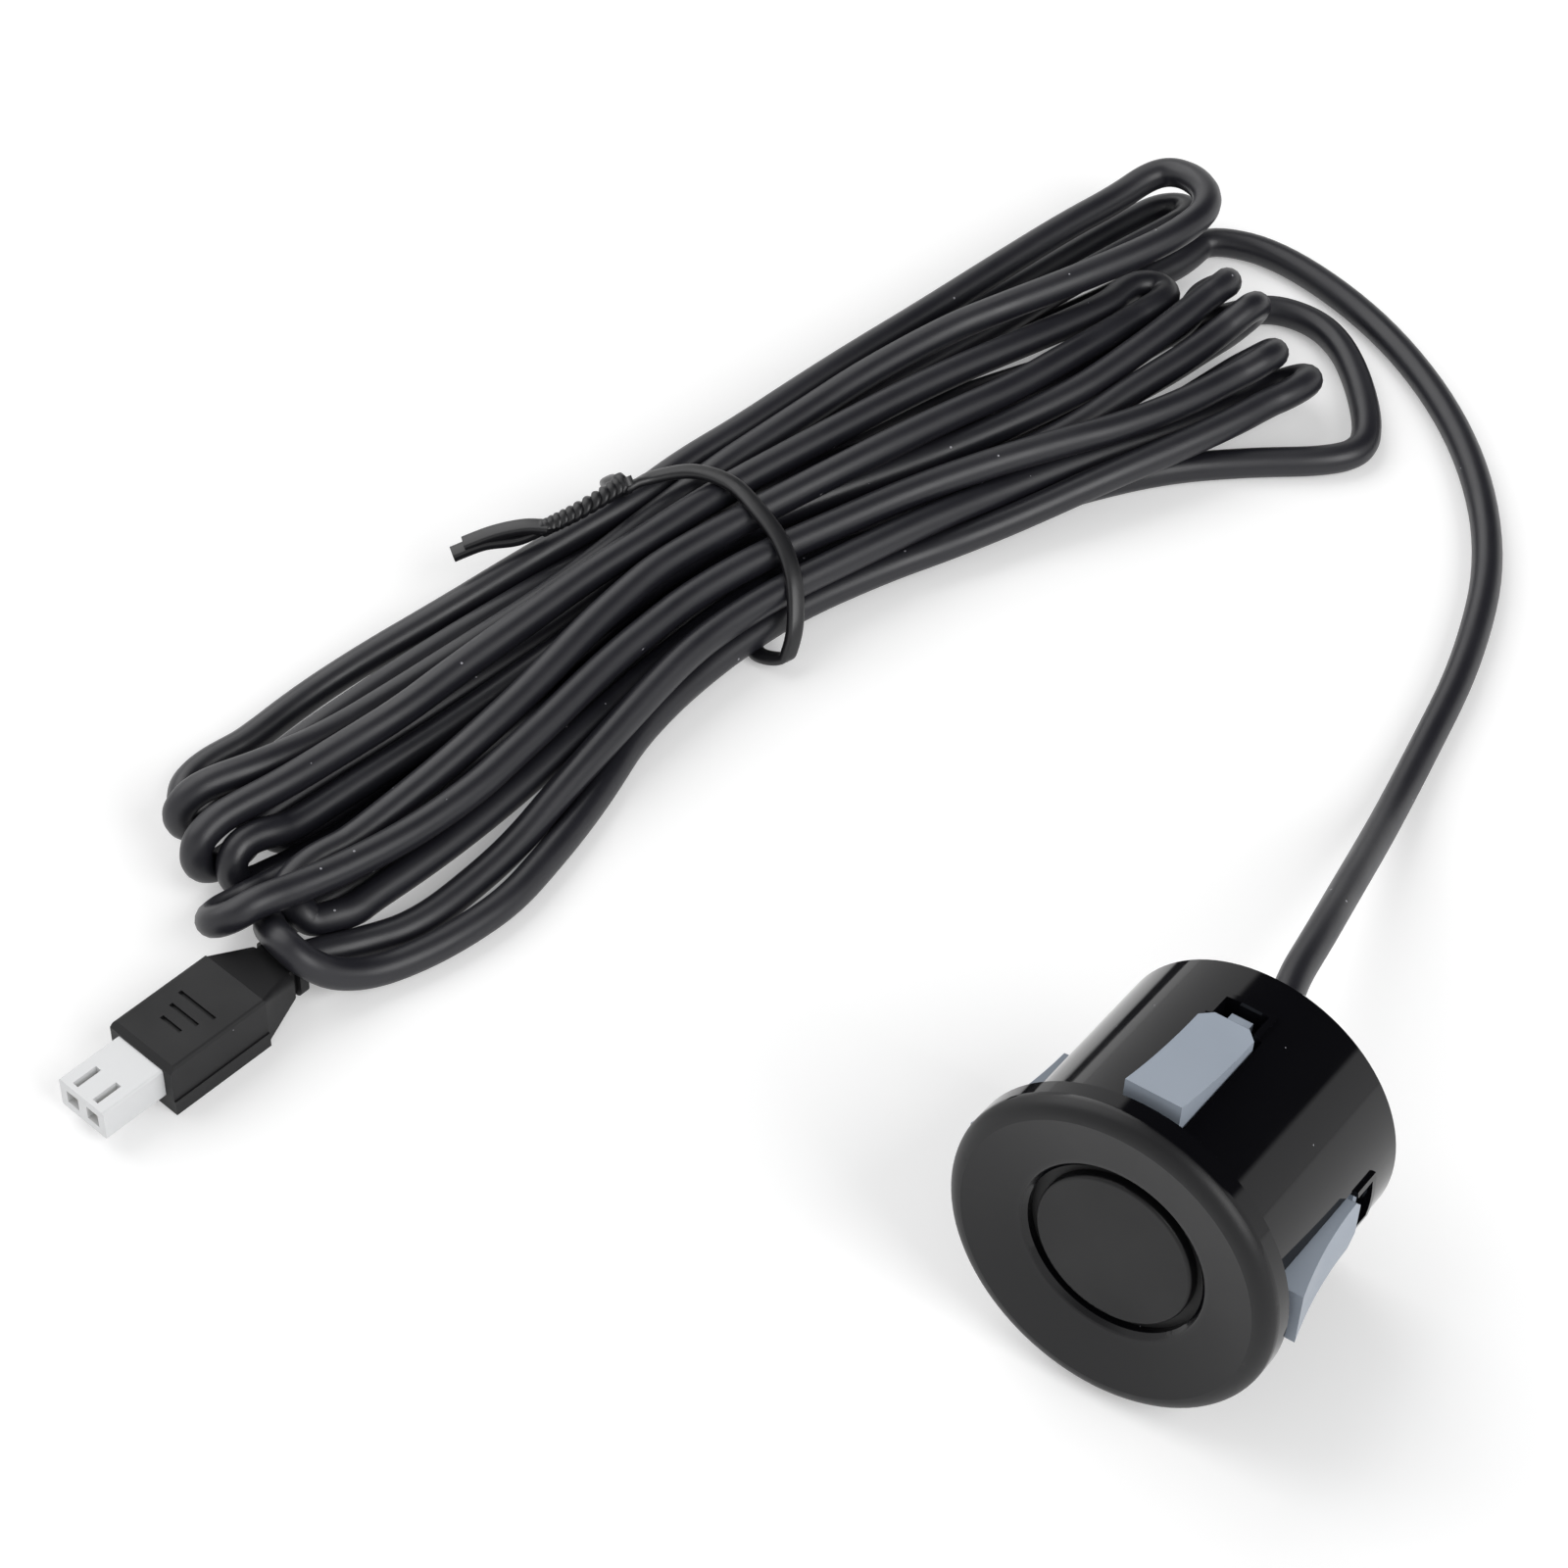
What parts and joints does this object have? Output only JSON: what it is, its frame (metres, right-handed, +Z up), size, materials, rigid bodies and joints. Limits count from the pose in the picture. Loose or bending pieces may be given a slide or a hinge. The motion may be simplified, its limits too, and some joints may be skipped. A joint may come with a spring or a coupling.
{
  "type": "ultrasonic parking sensor",
  "caption": "Round flush-mount ultrasonic parking sensor with bezel, barrel clips, a long tied lead and a small two-way plug.",
  "frame": {"origin": "on the table, under the middle of the sensor head's box", "axes": "+Z up; the sensor's face looks to -Y and its barrel runs to +Y, tipped down by 6.6 degrees as it rests on its lower clip and rear rim; the hank lies towards -X"},
  "size_m": [0.0983, 0.1279, 0.025],
  "materials": {
    "black_gloss": "gloss black ABS moulding",
    "black_cup": "satin black paint on aluminium",
    "black_silicone": "soft silicone",
    "piezo": "silvered ceramic disc",
    "felt": "pressed felt",
    "copper_wire": "tinned copper wire",
    "board": "glass-epoxy board",
    "potting": "cast polyurethane, satin",
    "clip_grey": "soft grey plastic, satin",
    "cable_pvc": "satin PVC jacket",
    "tie_pvc": "gloss PVC over steel wire",
    "plug_black": "spark-eroded PVC overmould",
    "plug_white": "natural white nylon",
    "contact_tin": "tinned phosphor bronze"
  },
  "bodies": {
    "root": {"housing": "black_gloss", "transducer_cup": "black_cup", "isolation_ring": "black_silicone", "piezo_disc": "piezo", "damping_pad": "felt", "signal_wire": "copper_wire", "ground_wire": "copper_wire", "terminal_board": "board", "potting": "potting", "clip_top": "clip_grey", "clip_right": "clip_grey", "clip_bottom": "clip_grey", "clip_left": "clip_grey", "core_wire": "copper_wire", "shield_wire": "copper_wire", "lead_cable": "cable_pvc", "cable_hank": "cable_pvc", "twist_tie": "tie_pvc", "plug_cable": "cable_pvc", "plug_overmould": "plug_black", "plug_housing": "plug_white", "contact_signal": "contact_tin", "contact_ground": "contact_tin", "plug_core_wire": "copper_wire", "plug_shield_wire": "copper_wire"}
  },
  "joints": []
}
